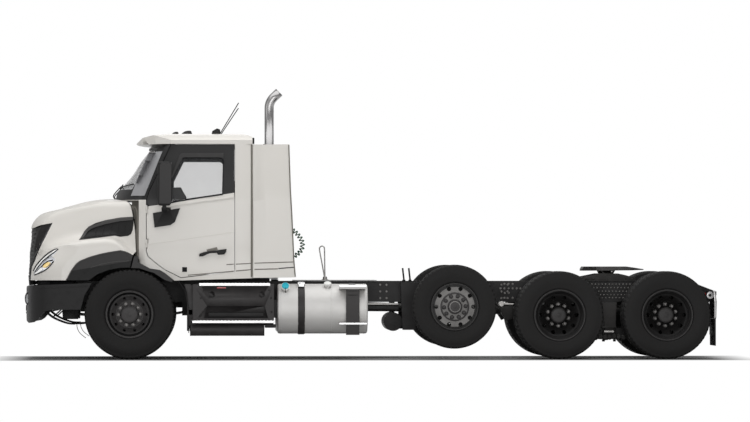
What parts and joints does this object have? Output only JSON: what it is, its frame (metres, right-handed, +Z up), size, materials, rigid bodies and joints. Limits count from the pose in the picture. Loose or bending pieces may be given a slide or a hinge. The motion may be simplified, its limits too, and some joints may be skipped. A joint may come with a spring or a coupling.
{
  "type": "semi truck tractor unit",
  "caption": "Conventional day-cab truck tractor that rolls, steers, opens its doors and tilts its hood, with a tilting fifth wheel for a semi-trailer.",
  "frame": {"origin": "on the ground, half way along the truck, on its centreline", "axes": "+X forward, +Y to the driver's left, +Z up"},
  "size_m": [8.718, 2.84, 3.4683],
  "materials": {
    "tyre": "moulded black rubber",
    "wheel_steel": "grey painted steel wheel",
    "chassis_black": "satin black chassis paint",
    "body_paint": "light warm grey body paint",
    "black_plastic": "black moulded plastic",
    "grey_plastic": "dark grey moulded plastic",
    "glass": "tinted glass",
    "lamp_lens": "clear lamp lens",
    "red_lens": "red lamp lens",
    "interior_trim": "interior plastic",
    "seat_cloth": "seat cloth",
    "aluminium": "bright aluminium",
    "bright_steel": "bright steel",
    "cast_steel": "cast steel",
    "rubber": "black rubber",
    "line_sheath": "coloured plastic sheath"
  },
  "bodies": {
    "chassis": {"frame_rails": "chassis_black", "crossmembers": "chassis_black", "chassis_brackets": "chassis_black", "front_bumper": "black_plastic", "front_axle_beam": "cast_steel", "suspension": "chassis_black", "arch_trim": "grey_plastic", "cab_shell": "body_paint", "cab_glass": "glass", "cab_roof": "body_paint", "aerials": "black_plastic", "dashboard": "interior_trim", "seats": "seat_cloth", "side_extenders": "body_paint", "step_boxes": "black_plastic", "fuel_tanks": "aluminium", "tank_steps": "aluminium", "exhaust_stack": "bright_steel", "deck_plate": "aluminium", "hose_tender": "bright_steel", "air_lines": "line_sheath", "rear_axles": "chassis_black", "lift_air_springs": "rubber", "fifth_wheel_base": "cast_steel", "engine_block": "cast_steel", "driveline": "cast_steel", "radiator": "aluminium", "mud_guards": "rubber", "tail_lamps": "red_lens"},
    "hood": {"hood_shell": "body_paint", "fender_flares": "grey_plastic", "headlamps": "lamp_lens", "grilles": "black_plastic"},
    "door_left": {"door_left": "body_paint", "door_glass_left": "glass", "mirror_left": "black_plastic"},
    "door_right": {"door_right": "body_paint", "door_glass_right": "glass", "mirror_right": "black_plastic"},
    "knuckle_left": {"knuckle_left": "cast_steel"},
    "knuckle_right": {"knuckle_right": "cast_steel"},
    "tie_rod": {"tie_rod": "cast_steel"},
    "steer_wheel_left": {"tyre_steer_left": "tyre", "wheel_steer_left": "wheel_steel"},
    "steer_wheel_right": {"tyre_steer_right": "tyre", "wheel_steer_right": "wheel_steel"},
    "lift_wheel_left": {"tyre_lift_left": "tyre", "wheel_lift_left": "wheel_steel"},
    "lift_wheel_right": {"tyre_lift_right": "tyre", "wheel_lift_right": "wheel_steel"},
    "drive_wheels_1_left": {"tyres_drive_1_left": "tyre", "wheels_drive_1_left": "wheel_steel"},
    "drive_wheels_1_right": {"tyres_drive_1_right": "tyre", "wheels_drive_1_right": "wheel_steel"},
    "drive_wheels_2_left": {"tyres_drive_2_left": "tyre", "wheels_drive_2_left": "wheel_steel"},
    "drive_wheels_2_right": {"tyres_drive_2_right": "tyre", "wheels_drive_2_right": "wheel_steel"},
    "fifth_wheel": {"fifth_wheel_plate": "cast_steel"}
  },
  "joints": [
    {"name": "hood_tilt", "type": "hinge", "parent": "chassis", "child": "hood", "pos_m": [4.303, 0, 0.948], "axis": [0, 1, 0], "range_deg": [0, 60]},
    {"name": "steer_left", "type": "hinge", "parent": "chassis", "child": "knuckle_left", "pos_m": [3.041, 0.875, 0.564], "axis": [0, 0, 1], "range_deg": [-32, 32]},
    {"name": "steer_right", "type": "hinge", "parent": "chassis", "child": "knuckle_right", "pos_m": [3.041, -0.875, 0.564], "axis": [0, 0, 1], "range_deg": [-32, 32]},
    {"name": "tie_rod_pivot", "type": "hinge", "parent": "knuckle_left", "child": "tie_rod", "pos_m": [2.871, 0.875, 0.44], "axis": [0, 0, 1], "range_deg": [-32, 32]},
    {"name": "door_left_swing", "type": "hinge", "parent": "chassis", "child": "door_left", "pos_m": [2.829, 1.092, 1.7], "axis": [0, 0, -1], "range_deg": [0, 68]},
    {"name": "door_right_swing", "type": "hinge", "parent": "chassis", "child": "door_right", "pos_m": [2.829, -1.092, 1.7], "axis": [0, 0, 1], "range_deg": [0, 68]},
    {"name": "fifth_wheel_tilt", "type": "hinge", "parent": "chassis", "child": "fifth_wheel", "pos_m": [-3.027, 0, 1.05], "axis": [0, 1, 0], "range_deg": [-12, 12]},
    {"name": "steer_wheel_left_spin", "type": "hinge", "parent": "knuckle_left", "child": "steer_wheel_left", "pos_m": [3.041, 1.04, 0.564], "axis": [0, 1, 0], "continuous": true},
    {"name": "lift_wheel_left_spin", "type": "hinge", "parent": "chassis", "child": "lift_wheel_left", "pos_m": [-1.025, 1.082, 0.658], "axis": [0, 1, 0], "continuous": true},
    {"name": "drive_wheels_1_left_spin", "type": "hinge", "parent": "chassis", "child": "drive_wheels_1_left", "pos_m": [-2.342, 0.917, 0.552], "axis": [0, 1, 0], "continuous": true},
    {"name": "drive_wheels_2_left_spin", "type": "hinge", "parent": "chassis", "child": "drive_wheels_2_left", "pos_m": [-3.694, 0.917, 0.552], "axis": [0, 1, 0], "continuous": true},
    {"name": "steer_wheel_right_spin", "type": "hinge", "parent": "knuckle_right", "child": "steer_wheel_right", "pos_m": [3.041, -1.04, 0.564], "axis": [0, 1, 0], "continuous": true},
    {"name": "lift_wheel_right_spin", "type": "hinge", "parent": "chassis", "child": "lift_wheel_right", "pos_m": [-1.025, -1.082, 0.658], "axis": [0, 1, 0], "continuous": true},
    {"name": "drive_wheels_1_right_spin", "type": "hinge", "parent": "chassis", "child": "drive_wheels_1_right", "pos_m": [-2.342, -0.917, 0.552], "axis": [0, 1, 0], "continuous": true},
    {"name": "drive_wheels_2_right_spin", "type": "hinge", "parent": "chassis", "child": "drive_wheels_2_right", "pos_m": [-3.694, -0.917, 0.552], "axis": [0, 1, 0], "continuous": true}
  ],
  "couplings": [
    {"joint": "steer_right", "follows": "steer_left", "ratio": 1},
    {"joint": "tie_rod_pivot", "follows": "steer_left", "ratio": -1}
  ]
}
